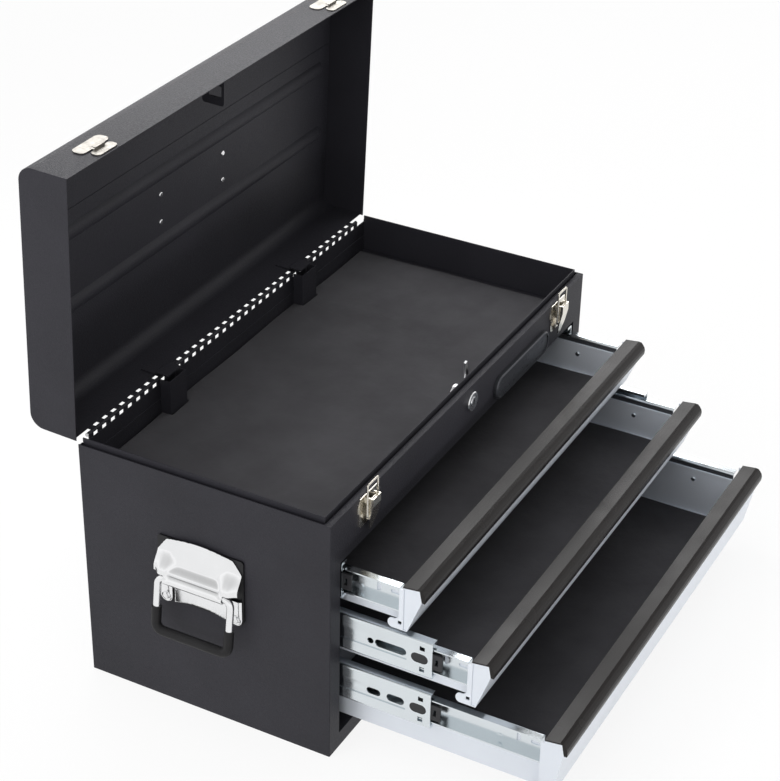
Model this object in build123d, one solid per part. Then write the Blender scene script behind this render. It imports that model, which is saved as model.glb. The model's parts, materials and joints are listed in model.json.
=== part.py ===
"""Drawer tool box: lift-up lid over a top tray, three drawers on two-stage slides.

Millimetres. +X is right seen from the front, the front faces -Y, +Z is up and the origin is on the
floor under the middle of the cabinet. Parts stand as pictured: lid up, drawers drawn out by steps.
"""
import os

from build123d import *

# Cabinet shell
WIDTH = 530.0
DEPTH = 260.0
HEIGHT = 254.0
SHEET = 1.0
BEND = 0.8
POST_W = 17.5
RAIL_H = 16.0
RETURN_D = 12.0
PANEL_H = 48.0
TOP_FLANGE_D = 6.5
REAR_HEM = 4.5
BACK_DOWN = 3.4
OVER = 1.0  # how far a cut runs past what it cuts

# Top tray
TRAY_DEEP = 37.0
TRAY_LIP_UP = 5.0
TRAY_SIDE_GAP = 3.5
TRAY_FRONT_GAP = 7.0
TRAY_LEDGE_DOWN = 8.0
TRAY_UPTURN = 18.0
TRAY_MAT_T = 3.5
MAT_GAP = 1.0
MAT_R = 3.0

# Lid and hinge
LID_DEPTH = 50.0
LID_GAP = 0.5
LID_ROUND = 14.0
LID_OPEN = 88.0
BEAD_Y = 36.7
BEAD_W = 15.0
BEAD_DEEP = 3.6
BEAD_END = 16.0
CREASE_IN = 70.0
CREASE = (0.9, 0.4)
HINGE_R = 1.7
PIN_R = 1.0
PIN_HEAD = 0.8
RUN_FIT = 0.05
HINGE_OUT = 2.1
HINGE_UP = 0.3
HINGE_INSET = 12.0
KNUCKLE = 6.8
KNUCKLE_GAP = 0.1
LEAF_H = 18.0
BOX_NOTCH = 7.3
LID_NOTCH = 6.5
LID_REAR_UP = 3.4

# Lid stops
STOP_IN = 142.0
STOP_W = 28.0
STOP_D = 11.0
STOP_UP = 2.0
TAB_W = 22.0
TAB_T = 1.2
TAB_UP = 16.0
TAB_DOWN = 11.0
TAB_SET = 2.3

# Lock
LOCK_X = 3.0
LOCK_DOWN = 16.5
LOCK_FLANGE_R = 10.0
LOCK_FLANGE_T = 3.0
LOCK_FLANGE_CUT = 0.8
LOCK_BODY_R = 8.0
LOCK_BACK_GAP = 1.5
LOCK_CORE_R = 5.0
LOCK_CORE_OUT = 0.6
LOCK_TAIL_R = 4.0
KEY_SLOT = (1.4, 6.0, 6.0)
CAM_T = 2.0
CAM_SET = 5.0
CAM_HUB_R = 7.5
CAM_W = 6.5
CAM_TIP_W = 4.0
CAM_ELBOW = (18.5, 8.0)
CAM_TIP = (14.1, 31.5)
LOCK_NUT_R = 12.5
LOCK_NUT_T = 4.5
LOCK_NUT_ROUND = 1.6

# Striker fin on the lid
FIN_X = -12.0
FIN_T = 2.0
FIN_UP = 5.0
FIN_ROUND = 3.0
FIN_H = 24.0
FIN_D = 29.0
FIN_WINDOW = (11.5, 13.5)
FIN_WINDOW_LOW = 3.0
FIN_WINDOW_BACK = 9.5
FIN_FOOT = 16.0

# Nameplate left bare
PLATE_IN = 151.0
PLATE_DOWN = 32.0
PLATE_SHARE = 0.23
PLATE_H = 25.0
PLATE_T = 4.5
PLATE_RIM = 2.4
PLATE_CUT = 1.2
PLATE_SINK = 1.2
PLATE_END = 0.5

# Draw latches
LATCH_IN = 65.0
LATCH_BASE_W = 40.0
LATCH_BASE_H = 30.0
LATCH_BASE_T = 1.2
LATCH_TOP_GAP = 0.8
LATCH_WAIST = 3.5
LATCH_CUT = (5.0, 7.0)
LATCH_STEP = 2.5
EAR_IN = 4.4
EAR_T = 1.2
EAR_H = 9.0
EAR_R = 2.2
EAR_CUT = 1.6
LEVER_GAP = 0.4
LEVER_T = 1.0
LEVER_OUT = 9.6
LEVER_H = 35.4
LEVER_TOP_DOWN = 2.0
LEVER_KNEE = 5.5
LEVER_FOLD = 0.2
FLANGE_SET = 0.5
FLANGE_BACK = 3.0
FLANGE_LUG = (1.0, 2.0, 3.4)
LEVER_TIP_OUT = 3.6
LEVER_TIP_W = 4.4
LEVER_PIVOT_OUT = 6.0
LEVER_PIVOT_DOWN = 4.6
LEVER_PIN_R = 1.2
BAIL_R = 1.0
BAIL_GAP = 1.2
BAIL_OUT = 5.0
BAIL_DOWN = 16.0
BAIL_H = 33.0
BAIL_BEND = 1.3
BAIL_END = 0.2

# Keepers on the lid
KEEPER_LOW = 2.5
KEEPER_H = 26.0
KEEPER_T = 1.0
KEEPER_NECK = 14.0
KEEPER_LOBE = (41.0, 13.4, 5.4)
KEEPER_FOOT = (29.6, 9.9, 4.4)
HOOK_OUT = 3.4
HOOK_T = 0.8
HOOK_UP = 9.0
HOOK_H = 4.0

# Side handles
HANDLE_Y = 2.0
HANDLE_DOWN = 104.0
HANDLE_W = 88.0
HANDLE_BACK_T = 2.0
HANDLE_BACK_W = 90.0
HANDLE_BACK_TOP = 37.0
HANDLE_BACK_LOW = -31.0
HANDLE_BACK_R = 3.0
HANDLE_SHEET = 1.4
HANDLE_TOP = 40.0
HANDLE_FLAT = 35.0
HANDLE_SHOULDER = 35.5
HANDLE_CORNER = 23.0
HANDLE_CHEEK = 31.0
HANDLE_CHEEK_TOP = 21.0
PIVOT_OUT = 13.0
WIRE_R = 3.5
BARREL_R = 5.6
HUMP_TOP = 16.0
HUMP_RIDGE = (1.5, 0.3)
HUMP_FOOT = (1.0, 0.2)
CHEEK_DOME = (1.5, 6.5)
CHEEK_OUT = 3.2
CHEEK_UP = 1.0
TAB_HALF = 28.0
TAB_LOW = -32.0
TAB_ARCH = 4.5
LUG_X = 37.0
LUG_W = 13.0
LUG_LOW = -34.0
LUG_GAP = 1.0
LUG_ARM = 7.0
LUG_END = 0.2
HANDLE_LEG = 38.5
HANDLE_DROP = 55.0
HANDLE_BEND = 8.0
HANDLE_END = 12.0
HANDLE_TILT = 8.0
GRIP_R = 4.7
GRIP_LEG = 24.0
RIVET_R = 2.0
RIVET_HEAD_R = 3.6
RIVET_HEAD_T = 1.4
RIVET_ROUND = 0.7
RIVET_CLENCH = 0.8

# Lid handle
LID_HANDLE_SPAN = 54.5
LID_RIVET_PITCH = 29.0
MOUNT_W = 14.0
MOUNT_L = 44.0
MOUNT_T = 1.6
MOUNT_R = 4.0
LID_PIVOT_OUT = 6.2
LID_WIRE_R = 3.0
LID_BARREL_R = 4.6
LID_LEG = 42.0
LID_DROP = 34.0
LID_GRIP_R = 4.2
LID_BEND = 6.0

# Drawers, top one first: front edge below the panel, height of the front, resting pull-out.
# The heights suit an opening STACK_H high and stretch with it.
STACK_H = 190.0
DRAWER_DOWN = (5.4, 59.5, 115.5)
FRONT_TALL = (45.2, 47.0, 63.6)
DRAWER_OUT = (60.0, 128.0, 200.0)
MIDDLE_OUT = (9.5, 100.0, 100.0)
FRONT_FOOT = (4.7, 5.3, 8.0)
FLOOR_UP = (1.0, 1.2, 0.6)
WALL_DOWN = 10.8
FRONT_GAP = 0.5
FRONT_SIDE_GAP = 1.5
FRONT_DEEP = 16.0
FRONT_RISE = 2.0
FRONT_LIP = 2.3
FRONT_LIP_DOWN = 9.5
DRAWER_LENGTH = 236.0
DRAWER_MAT_T = 2.4
DRAWER_MAT_GAP = 4.0
CAP_SET = (0.8, 0.8, 0.0)
STRIP_LONG = 3.5
STRIP_DOWN = 2.0
TAB_LONG = 14.0
TAB_HIGH = 10.0
TAB_ROUND = 4.5
TAB_HOLLOW = 5.0
TAB_HOLE = 3.6
TAB_HOLE_AT = (2.4, 7.2)
PULL_T = 1.5
PULL_BACK = 0.0
PULL_NOSE = 3.3
PULL_HOOK = 2.0
PULL_FLAT = 14.0
PULL_SHOULDER = (17.0, 0.9)
PULL_CURVE = ((2.6, 0.8), (0.8, -1.8), (0.0, -5.0))
PULL_EDGE = (0.4, 0.5)
PULL_INNER = (10.0, 5.0)

# Two-stage slides
SLIDE_T = 12.7
SLIDE_TALL = 45.0
RACE_T = 3.0
RACE_GAP = 0.5
BALL_GAP = 3.2
RAIL_SHEET = 1.1
RAIL_REACH = 8.6
MIDDLE_REACH = 8.8
DRAWER_REACH = 9.2
DRAWER_FLANGE = 1.3
RACE_R = 2.4
SLIDE_DOWN = 16.3
RAIL_FRONT = 15.0
RAIL_LENGTH = 230.0
MIDDLE_FRONT = 10.0
MIDDLE_LENGTH = 230.0
DRAWER_RAIL_FRONT = 5.0
DRAWER_RAIL_LENGTH = 225.0
SLIDE_RIVET_R = 2.6
SLIDE_RIVET_BACK = (47.0, 190.0)
SLIDE_RIVET_DOWN = 6.3
SLIDE_RIVET_STEP = 1.0
SLIDE_RIVET_OUT = (0.8, 1.4)
RAIL_SLOT = (9.0, 4.0, 8.0)
RAIL_WINDOW = (4.0, 8.5, 24.0)
RAIL_WINDOW_ROUND = 3.2
UPRIGHT_W = 22.0
UPRIGHT_Y = (-100.0, 98.0)
CAGE_OUT = 9.0
CAGE_IN = 23.0
CAGE_SIDE = 4.5
CAGE_WINDOW = (3.2, 7.0, 5.5)
CAGE_T = 2.4
PLUG = (16.5, 10.0)
PLUG_BACK = 12.5
PLUG_FIT = 0.3
PLUG_SINK = 0.7
SQUARE = 5.0
SQUARE_BACK = 10.0
SQUARE_EDGE = 4.5
RECESS_HALF = 6.8
RECESS_DEEP = 1.0
RECESS_FRONT = 25.0
MIDDLE_SLOTS = (((57.5, 14.0, 7.0), (35.5, 17.5, 8.0)),
                ((61.5, 6.2, 6.0), (41.5, 31.0, 8.0)),
                ((57.5, 14.0, 7.0), (35.5, 17.5, 8.0)))

# Derived positions
HALF_W = WIDTH / 2
HALF_D = DEPTH / 2
FACE = -HALF_D
OPEN_X = HALF_W - POST_W
PANEL_BOTTOM = HEIGHT - PANEL_H
BACK_TOP = HEIGHT - BACK_DOWN
TRAY_FLOOR = HEIGHT - TRAY_DEEP
TRAY_LIP = HEIGHT + TRAY_LIP_UP
TRAY_LEDGE = HEIGHT - TRAY_LEDGE_DOWN
STOP_X = HALF_W - STOP_IN
STOP_TOP = HEIGHT + STOP_UP
LOCK_Z = HEIGHT - LOCK_DOWN
PLATE_X = HALF_W - PLATE_IN
PLATE_Z = HEIGHT - PLATE_DOWN
PLATE_W = PLATE_SHARE * WIDTH
LATCH_X = HALF_W - LATCH_IN
HANDLE_Z = HEIGHT - HANDLE_DOWN
STRETCH = (PANEL_BOTTOM - RAIL_H) / STACK_H
DRAWER_TOP = [PANEL_BOTTOM - STRETCH * down for down in DRAWER_DOWN]
FRONT_H = [STRETCH * tall for tall in FRONT_TALL]
SLIDE_DROP = STRETCH * SLIDE_DOWN
SLIDE_X = OPEN_X - FRONT_SIDE_GAP
DRAWER_X = SLIDE_X - SLIDE_T
TRAY_X = HALF_W - SHEET - TRAY_SIDE_GAP
TRAY_Y = FACE + SHEET + TRAY_FRONT_GAP
BACK_IN = HALF_D - SHEET
RIM = HEIGHT + LID_GAP
LID_TOP = RIM + LID_DEPTH
FIN_LOW = RIM + FIN_UP
CREASE_Y = FACE + CREASE_IN
BEAD_RADIUS = (BEAD_W ** 2 / 4 + BEAD_DEEP ** 2) / (2 * BEAD_DEEP)
HINGE_Y = HALF_D + HINGE_OUT
HINGE_Z = HEIGHT + HINGE_UP
HINGE_AXIS = Axis((0, HINGE_Y, HINGE_Z), (-1, 0, 0))
DRAWER_REST = FACE - FRONT_GAP
LATCH_TOP = HEIGHT - LATCH_TOP_GAP
LATCH_LOW = LATCH_TOP - LATCH_BASE_H
LEVER_IN = EAR_IN + EAR_T + LEVER_GAP
LEVER_HALF = LEVER_IN + LEVER_T
LEVER_Y = FACE - LEVER_PIVOT_OUT
LEVER_Z = LATCH_TOP - LEVER_PIVOT_DOWN
BAIL_X = LEVER_HALF + BAIL_GAP + BAIL_R
BAIL_Y = FACE - BAIL_OUT
BAIL_Z = LEVER_Z - BAIL_DOWN
CAM_Y = TRAY_Y + SHEET + CAM_SET
RAIL_HALF = STRETCH * SLIDE_TALL / 2
MIDDLE_HALF = RAIL_HALF - RACE_T - RACE_GAP
DRAWER_HALF = MIDDLE_HALF - RACE_T - BALL_GAP
CAGE_HALF = DRAWER_HALF - CAGE_SIDE
SQUARE_UP = MIDDLE_HALF - RACE_T - SQUARE_EDGE


def box(x0, x1, y0, y1, z0, z1):
    """Block between limits along each axis."""
    centre = Pos((x0 + x1) / 2, (y0 + y1) / 2, (z0 + z1) / 2)
    return centre * Box(abs(x1 - x0), abs(y1 - y0), abs(z1 - z0))


def rod_x(r, x0, x1, y, z):
    """Round bar along X."""
    return Pos((x0 + x1) / 2, y, z) * Rot(0, 90, 0) * Cylinder(r, abs(x1 - x0))


def rod_y(r, y0, y1, x, z):
    """Round bar along Y."""
    return Pos(x, (y0 + y1) / 2, z) * Rot(90, 0, 0) * Cylinder(r, abs(y1 - y0))


def slab_x(points, x0, x1):
    """Outline of (y, z) points carried along X."""
    face = make_face(Polyline(*[(x0, y, z) for y, z in points], close=True))
    return extrude(face, amount=x1 - x0, dir=(1, 0, 0))


def slab_y(points, y0, y1):
    """Outline of (x, z) points carried along Y."""
    face = make_face(Polyline(*[(x, y0, z) for x, z in points], close=True))
    return extrude(face, amount=y1 - y0, dir=(0, 1, 0))


def slot_x(long, tall, x0, x1, y, z):
    """Round-ended slot through X, its length along Y."""
    r = tall / 2
    half = max(long / 2 - r, 0.01)
    ends = [rod_x(r, x0, x1, y + s * half, z) for s in (-1, 1)]
    return box(x0, x1, y - half, y + half, z - r, z + r) + ends[0] + ends[1]


def edges_at(part, along, *limits):
    """Edges along one axis whose middle is at the given (axis, value) limits."""
    found = part.edges().filter_by(along)
    for axis, value in limits:
        found = found.filter_by_position(axis, value - 0.01, value + 0.01)
    return found


def flip(part):
    """The same part on the other side of the box."""
    return mirror(part, about=Plane.YZ)


def pair(part):
    """A part and its mirror image."""
    return part + flip(part)


def raise_lid(part):
    """Swing a part of the closed lid to the pictured opening."""
    return part.rotate(HINGE_AXIS, LID_OPEN)


def save(name, part):
    """Write one node."""
    os.makedirs("parts", exist_ok=True)
    export_step(part, f"parts/{name}.step")


def handle_place(side):
    """Frame of a side handle: local -Y leaves the cabinet, local Z is up."""
    return Pos(side * HALF_W, HANDLE_Y, HANDLE_Z) * Rot(0, 0, 90 * side)


def handle_rivet_spots():
    """Rivet positions (u, v) of a side handle, on its lugs."""
    return [(s * LUG_X, LUG_LOW + LUG_W / 2) for s in (-1, 1)]


def side_panel():
    """Right side: skin, front post with its return, top cap and rear hem."""
    part = box(HALF_W - SHEET, HALF_W, FACE, HALF_D, 0, HEIGHT)
    part += box(OPEN_X, HALF_W, FACE, FACE + SHEET, RAIL_H, HEIGHT)
    part += box(OPEN_X, OPEN_X + SHEET, FACE, TRAY_Y, RAIL_H, HEIGHT)
    part += box(OPEN_X, HALF_W, FACE, FACE + TOP_FLANGE_D, HEIGHT - SHEET, HEIGHT)
    part += box(HALF_W - REAR_HEM, HALF_W, BACK_IN - SHEET, BACK_IN, SHEET, HEIGHT)
    corner = edges_at(part, Axis.Z, (Axis.X, HALF_W), (Axis.Y, FACE))
    part = fillet(corner, BEND)
    for u, v in handle_rivet_spots():
        y = HANDLE_Y + u
        part -= rod_x(RIVET_R, HALF_W - 2 * SHEET, HALF_W + SHEET, y, HANDLE_Z + v)
    return part


def front_panel():
    """Panel above the drawers with returned top and bottom edges and the lock hole."""
    part = box(-OPEN_X, OPEN_X, FACE, FACE + SHEET, PANEL_BOTTOM, HEIGHT)
    part += box(-OPEN_X, OPEN_X, FACE, FACE + TOP_FLANGE_D, HEIGHT - SHEET, HEIGHT)
    part += box(-OPEN_X, OPEN_X, FACE, FACE + RETURN_D, PANEL_BOTTOM, PANEL_BOTTOM + SHEET)
    return part - rod_y(LOCK_BODY_R, FACE - SHEET, FACE + 2 * SHEET, LOCK_X, LOCK_Z)


def base_pan():
    """Floor of the cabinet with the bottom front rail."""
    x = HALF_W - SHEET
    part = box(-x, x, FACE, BACK_IN, 0, SHEET)
    part += box(-x, x, FACE, FACE + SHEET, 0, RAIL_H)
    part += box(-x, x, FACE, FACE + RETURN_D, RAIL_H - SHEET, RAIL_H)
    return part


def top_tray():
    """Pressed tray: floor, walls ending in a lip, ledge on the shell and low rear turn-up."""
    z0, z1 = TRAY_FLOOR, TRAY_LIP
    part = box(-TRAY_X, TRAY_X, TRAY_Y, BACK_IN, z0, z0 + SHEET)
    part += box(-TRAY_X, TRAY_X, TRAY_Y, TRAY_Y + SHEET, z0, z1)
    wall = box(TRAY_X - SHEET, TRAY_X, TRAY_Y, BACK_IN - SHEET, z0, z1)
    ledge = TRAY_LEDGE + SHEET
    wall += box(TRAY_X - SHEET, HALF_W - SHEET, TRAY_Y, BACK_IN - SHEET, TRAY_LEDGE, ledge)
    part += pair(wall)
    part += box(-OPEN_X, OPEN_X, FACE + SHEET, TRAY_Y + SHEET, TRAY_LEDGE, ledge)
    part += box(-TRAY_X, TRAY_X, BACK_IN - SHEET, BACK_IN, z0, z0 + TRAY_UPTURN)
    hole = rod_y(LOCK_BODY_R, TRAY_Y - SHEET, TRAY_Y + 2 * SHEET, LOCK_X, LOCK_Z)
    ledge_hole = rod_y(LOCK_BODY_R, FACE, TRAY_Y + SHEET, LOCK_X, LOCK_Z)
    return part - hole - ledge_hole


def tray_mat():
    """Foam liner of the tray, notched round the lid stops."""
    x = TRAY_X - SHEET - MAT_GAP
    y0 = TRAY_Y + SHEET + MAT_GAP
    y1 = BACK_IN - SHEET - MAT_GAP
    z0 = TRAY_FLOOR + SHEET
    part = box(-x, x, y0, y1, z0, z0 + TRAY_MAT_T)
    half = STOP_W / 2 + MAT_GAP
    z1 = z0 + TRAY_MAT_T + OVER
    notch = box(STOP_X - half, STOP_X + half, y1 - STOP_D, HALF_D, z0 - OVER, z1)
    return part - pair(notch)


def knuckle_slots():
    """Start of each knuckle along the hinge."""
    length = WIDTH - 2 * HINGE_INSET
    count = int(length / KNUCKLE)
    count -= 1 - count % 2
    start = -count * KNUCKLE / 2
    return [start + i * KNUCKLE for i in range(count)]


def hinge_leaf(own, up, notch):
    """Leaf with knuckles on every second slot; up is +1 for the lid's leaf, -1 for the box's."""
    slots = knuckle_slots()
    x0, x1 = slots[0], slots[-1] + KNUCKLE
    z0, z1 = sorted((HINGE_Z, HINGE_Z + up * LEAF_H))
    part = box(x0, x1, HALF_D, HALF_D + SHEET, z0, z1)
    part += rod_x(HINGE_R, x0, x1, HINGE_Y, HINGE_Z)
    part -= rod_x(PIN_R + RUN_FIT, x0 - OVER, x1 + OVER, HINGE_Y, HINGE_Z)
    n0, n1 = sorted((HINGE_Z - up * (HINGE_R + OVER), HINGE_Z + up * notch))
    g = KNUCKLE_GAP
    gaps = [box(x - g, x + KNUCKLE + g, HALF_D - OVER, HINGE_Y + HINGE_R + OVER, n0, n1)
            for i, x in enumerate(slots) if i % 2 != own]
    return part - gaps


def hinge_pin():
    """Pin through all knuckles with a small head at each end."""
    slots = knuckle_slots()
    x1 = slots[-1] + KNUCKLE
    start = x1 + KNUCKLE_GAP
    head = rod_x(PIN_R + PIN_HEAD, start, start + PIN_HEAD, HINGE_Y, HINGE_Z)
    return rod_x(PIN_R, -start, start, HINGE_Y, HINGE_Z) + pair(head)


def bead(y, r):
    """Rolled bead across the lid: a bar with ball ends whose underside presses the sheet in."""
    centre = LID_TOP - BEAD_DEEP + BEAD_RADIUS
    half = HALF_W - BEAD_END - BEAD_W / 2
    part = rod_x(r, -half, half, y, centre)
    for s in (-1, 1):
        part += Pos(s * half, y, centre) * Sphere(r)
    return part


def lid_shell():
    """Closed lid: a shallow pan with rounded long edges, two pressed beads and a crease."""
    outer = box(-HALF_W, HALF_W, FACE, HALF_D, RIM, LID_TOP)
    outer = fillet(edges_at(outer, Axis.X, (Axis.Z, LID_TOP)), LID_ROUND)
    outer = fillet(edges_at(outer, Axis.Z, (Axis.Y, FACE)), BEND)
    x = HALF_W - SHEET
    roof = LID_TOP - SHEET
    inner = box(-x, x, FACE + SHEET, HALF_D - SHEET, RIM - OVER, roof)
    inner = fillet(edges_at(inner, Axis.X, (Axis.Z, roof)), LID_ROUND - SHEET)
    part = outer - inner
    inside = box(-HALF_W, HALF_W, FACE, HALF_D, RIM, LID_TOP - SHEET / 2)
    for s in (-1, 1):
        part += bead(s * BEAD_Y, BEAD_RADIUS + SHEET) & inside
        part -= bead(s * BEAD_Y, BEAD_RADIUS)
    part -= box(-x, x, BACK_IN - OVER, HALF_D + OVER, RIM - OVER, HINGE_Z + LID_REAR_UP)
    wide, deep = CREASE
    part -= box(-x, x, CREASE_Y - wide / 2, CREASE_Y + wide / 2, roof - OVER, roof + deep)
    for x, y in lid_rivet_spots():
        part -= Pos(x, y, LID_TOP) * Cylinder(RIVET_R, 4 * SHEET)
    return part


def stop_channels():
    """Open-topped pockets on the rear wall that the lid's stop tabs swing in."""
    z0 = TRAY_FLOOR + SHEET
    y1 = BACK_IN - SHEET
    y0 = y1 - STOP_D
    half = STOP_W / 2
    part = box(-half, half, y0, y0 + SHEET, z0, STOP_TOP)
    for s in (-1, 1):
        x = s * (half - SHEET / 2)
        part += box(x - SHEET / 2, x + SHEET / 2, y0, y1, z0, STOP_TOP)
    return pair(Pos(STOP_X, 0, 0) * part)


def stop_tabs():
    """Joggled tabs on the lid's rear flange, drawn with the lid closed."""
    y = BACK_IN
    z = HINGE_Z + LID_REAR_UP
    low = z - TAB_DOWN - LID_REAR_UP
    set_in = y - TAB_SET
    points = [(y, z + TAB_UP), (y, z), (set_in, z - TAB_T), (set_in, low), (set_in - TAB_T, low),
              (set_in - TAB_T, z - TAB_T), (y - TAB_T, z + TAB_T), (y - TAB_T, z + TAB_UP)]
    return pair(slab_x(points, STOP_X - TAB_W / 2, STOP_X + TAB_W / 2))


def striker():
    """Fin with a window for the lock cam and a foot on the lid's front flange."""
    y0 = FACE + SHEET
    x0, x1 = FIN_X - FIN_T / 2, FIN_X + FIN_T / 2
    part = box(x0, x1, y0, y0 + FIN_D, FIN_LOW, FIN_LOW + FIN_H)
    part = fillet(edges_at(part, Axis.X, (Axis.Y, y0 + FIN_D)), FIN_ROUND)
    wy, wz = FIN_WINDOW
    y = y0 + FIN_WINDOW_BACK
    z = FIN_LOW + FIN_WINDOW_LOW
    part -= box(x0 - OVER, x1 + OVER, y, y + wy, z, z + wz)
    part += box(x0, x0 + FIN_FOOT, y0, y0 + SHEET, FIN_LOW, FIN_LOW + FIN_H)
    return part


def keeper():
    """Butterfly plate with a hook for the latch bail, drawn at x = 0 on the closed lid."""
    z0 = RIM + KEEPER_LOW
    y1 = FACE
    y0 = FACE - KEEPER_T
    z1 = z0 + KEEPER_H
    wide, tall, r = KEEPER_LOBE
    part = box(-wide / 2, wide / 2, y0, y1, z1 - tall, z1)
    part = fillet(part.edges().filter_by(Axis.Y), r)
    foot, low, r = KEEPER_FOOT
    foot = box(-foot / 2, foot / 2, y0, y1, z0, z0 + low)
    part += fillet(foot.edges().filter_by(Axis.Y), r)
    h = KEEPER_NECK / 2
    part += box(-h, h, y0, y1, z0 + low / 2, z1 - tall / 2)
    z = z0 + HOOK_UP
    part += box(-h, h, FACE - HOOK_OUT, y1, z, z + HOOK_T)
    part += box(-h, h, FACE - HOOK_OUT, FACE - HOOK_OUT + HOOK_T, z, z + HOOK_H)
    return part


def lock_housing():
    """Collar on the panel and barrel through the panel and the tray wall."""
    part = rod_y(LOCK_FLANGE_R, FACE - LOCK_FLANGE_T, FACE, LOCK_X, LOCK_Z)
    part = chamfer(part.edges().group_by(Axis.Y)[0], LOCK_FLANGE_CUT)
    rear = CAM_Y - CAM_T / 2 - LOCK_BACK_GAP
    part += rod_y(LOCK_BODY_R, FACE - LOCK_FLANGE_T / 2, rear, LOCK_X, LOCK_Z)
    front = FACE - LOCK_FLANGE_T - OVER
    return part - rod_y(LOCK_CORE_R + RUN_FIT, front, CAM_Y, LOCK_X, LOCK_Z)


def lock_cylinder():
    """Turning core with a key slot and a tail for the cam and nut."""
    y0 = FACE - LOCK_FLANGE_T - LOCK_CORE_OUT
    y1 = CAM_Y - CAM_T / 2
    part = rod_y(LOCK_CORE_R, y0, y1, LOCK_X, LOCK_Z)
    part += rod_y(LOCK_TAIL_R, y1, CAM_Y + CAM_T / 2 + LOCK_NUT_T, LOCK_X, LOCK_Z)
    w, h, deep = KEY_SLOT
    x0, x1 = LOCK_X - w / 2, LOCK_X + w / 2
    return part - box(x0, x1, y0 - OVER, y0 + deep, LOCK_Z - h / 2, LOCK_Z + h / 2)


def bar_y(start, end, w0, w1, y0, y1):
    """Flat bar between two (x, z) points, as wide as told at each, from y0 to y1."""
    along = Vector(end[0] - start[0], 0, end[1] - start[1]).normalized()
    x, z = -along.Z / 2, along.X / 2
    points = [(start[0] + w0 * x, start[1] + w0 * z), (end[0] + w1 * x, end[1] + w1 * z),
              (end[0] - w1 * x, end[1] - w1 * z), (start[0] - w0 * x, start[1] - w0 * z)]
    return slab_y(points, y0, y1)


def lock_cam():
    """Hooked arm on the core's tail; the hook passes through the striker window when turned."""
    deep = (-CAM_T / 2, CAM_T / 2)
    part = bar_y((0, 0), CAM_ELBOW, CAM_W, CAM_W, *deep)
    part += bar_y(CAM_ELBOW, CAM_TIP, CAM_W, CAM_TIP_W, *deep)
    part += rod_y(CAM_W / 2, *deep, *CAM_ELBOW) + rod_y(CAM_HUB_R, *deep, 0, 0)
    part -= rod_y(LOCK_TAIL_R, -CAM_T, CAM_T, 0, 0)
    return Pos(LOCK_X, CAM_Y, LOCK_Z) * part


def lock_nut():
    """Round nut that holds the cam on the tail."""
    y0 = CAM_Y + CAM_T / 2
    part = rod_y(LOCK_NUT_R, y0, y0 + LOCK_NUT_T, LOCK_X, LOCK_Z)
    part = fillet(part.edges().group_by(Axis.Y)[-1], LOCK_NUT_ROUND)
    return part - rod_y(LOCK_TAIL_R, y0 - OVER, y0 + LOCK_NUT_T + OVER, LOCK_X, LOCK_Z)


def nameplate():
    """Bare raised plate with a rim."""
    y0, y1 = FACE - PLATE_T, FACE
    w, h = PLATE_W / 2, PLATE_H / 2
    outer = box(-w, w, y0, y1, -h, h)
    outer = fillet(outer.edges().filter_by(Axis.Y), h - PLATE_END)
    outer = chamfer(outer.edges().group_by(Axis.Y)[0], PLATE_CUT)
    w, h = w - PLATE_RIM, h - PLATE_RIM
    field = box(-w, w, y0 - OVER, y0 + PLATE_SINK, -h, h)
    field = fillet(field.edges().filter_by(Axis.Y), h - PLATE_END)
    return Pos(PLATE_X, 0, PLATE_Z) * (outer - field)


def latch_base():
    """Waisted plate with two ears for the lever pin, at x = 0."""
    half = LATCH_BASE_W / 2
    waist = half - LATCH_WAIST
    y0 = FACE - LATCH_BASE_T
    mid = (LATCH_TOP + LATCH_LOW) / 2
    cut_x, cut_z = LATCH_CUT
    points = [(-half + cut_x, LATCH_TOP), (half - cut_x, LATCH_TOP), (half, LATCH_TOP - cut_z),
              (half, mid + LATCH_STEP), (waist, mid), (waist, LATCH_LOW + LATCH_STEP),
              (waist - LATCH_STEP, LATCH_LOW)]
    points += [(-x, z) for x, z in reversed(points[2:])]
    part = slab_y(points, y0, FACE)
    front, top, low = LEVER_Y - EAR_R, LEVER_Z + EAR_R, LATCH_TOP - EAR_H
    ear = [(y0, low), (front, low), (front, top - EAR_CUT), (front + EAR_CUT, top), (LEVER_Y, top),
           (y0, top - EAR_CUT)]
    part += pair(slab_x(ear, EAR_IN, EAR_IN + EAR_T))
    return part - rod_x(LEVER_PIN_R + RUN_FIT, -half, half, LEVER_Y, LEVER_Z)


def latch_lever():
    """Folded lever with side flanges and its pin, tapering to a tip near the panel."""
    top = LATCH_TOP - LEVER_TOP_DOWN
    low = top - LEVER_H
    knee = LEVER_Z - LEVER_KNEE
    out, tip = FACE - LEVER_OUT, FACE - LEVER_TIP_OUT
    inner = out + LEVER_T
    web = slab_x([(out, top), (out, knee), (tip, low), (tip + LEVER_T, low), (inner, knee + LEVER_FOLD),
                  (inner, top)], -LEVER_HALF, LEVER_HALF)
    h, t = LEVER_HALF, LEVER_TIP_W / 2
    before, behind, below = FLANGE_LUG
    waist = BAIL_Z - below
    shield = slab_y([(-h, top), (h, top), (h, waist), (t, low), (-t, low), (-h, waist)], out - OVER, FACE)
    part = web & shield
    edge, rear = out + FLANGE_SET, LEVER_Y + FLANGE_BACK
    flange = slab_x([(edge, top), (edge, knee), (BAIL_Y - before, waist), (BAIL_Y + behind, waist),
                     (rear, knee), (rear, top)], LEVER_IN, LEVER_HALF)
    part += pair(flange)
    part -= rod_x(BAIL_R + RUN_FIT, -LEVER_HALF - OVER, LEVER_HALF + OVER, BAIL_Y, BAIL_Z)
    return part + rod_x(LEVER_PIN_R, -LEVER_HALF, LEVER_HALF, LEVER_Y, LEVER_Z)


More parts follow.
